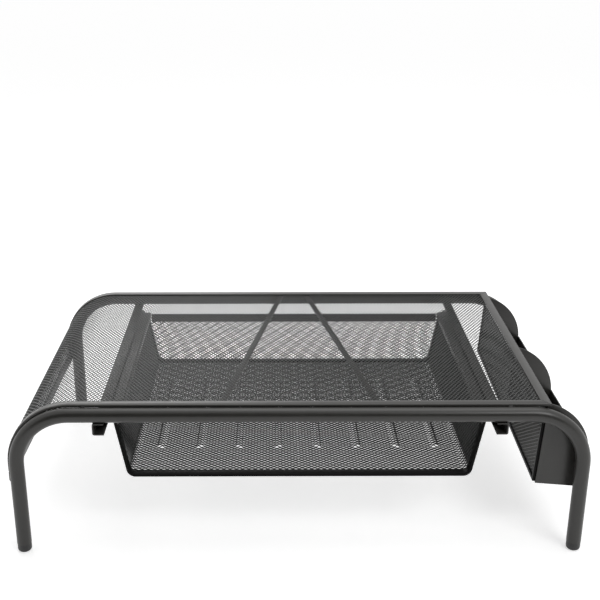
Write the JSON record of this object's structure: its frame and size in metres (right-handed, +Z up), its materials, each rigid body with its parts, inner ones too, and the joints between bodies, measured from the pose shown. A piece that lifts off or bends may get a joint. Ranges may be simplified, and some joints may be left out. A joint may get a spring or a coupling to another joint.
{
  "type": "monitor stand",
  "caption": "Desktop stand: mesh top wrapped down over bent tube frames, a sliding mesh drawer below it and an open side bin with two pockets.",
  "frame": {"origin": "on the desk under the middle of the stand", "axes": "+X to the side with the bin, -Y to the front where the drawer comes out, +Z up"},
  "size_m": [0.512, 0.3, 0.1435],
  "materials": {
    "powder_coated_steel": "satin powder coat",
    "powder_coated_mesh": "satin powder coat on expanded mesh",
    "black_plastic": "matte"
  },
  "bodies": {
    "stand": {"front_leg_tube": "powder_coated_steel", "rear_leg_tube": "powder_coated_steel", "foot_cap_front_left": "black_plastic", "foot_cap_front_right": "black_plastic", "foot_cap_rear_left": "black_plastic", "foot_cap_rear_right": "black_plastic", "top_mesh_panel": "powder_coated_mesh", "front_rim_strip": "powder_coated_steel", "rear_rim_strip": "powder_coated_steel", "right_rim_bar": "powder_coated_steel", "side_edge_bar": "powder_coated_steel", "support_strap_left": "powder_coated_steel", "support_strap_right": "powder_coated_steel", "drawer_rail_left": "powder_coated_steel", "drawer_rail_right": "powder_coated_steel", "rim_weld_spots": "powder_coated_steel", "rail_weld_beads": "powder_coated_steel", "bin_inner_wall": "powder_coated_mesh", "bin_wall_hem": "powder_coated_steel", "bin_floor": "powder_coated_steel", "bin_front_panel": "powder_coated_steel", "bin_divider": "powder_coated_steel", "bin_rear_panel": "powder_coated_steel", "bin_outer_wall": "powder_coated_steel"},
    "drawer": {"drawer_mesh_tray": "powder_coated_mesh", "drawer_front_hem": "powder_coated_steel", "drawer_rear_hem": "powder_coated_steel", "drawer_rear_wall": "powder_coated_mesh", "drawer_rear_strip": "powder_coated_steel", "drawer_rim_left": "powder_coated_steel", "drawer_rim_right": "powder_coated_steel"}
  },
  "joints": [
    {"name": "drawer_slide", "type": "slide", "parent": "stand", "child": "drawer", "axis": [0, -1, 0], "range_m": [0, 0.2]}
  ]
}
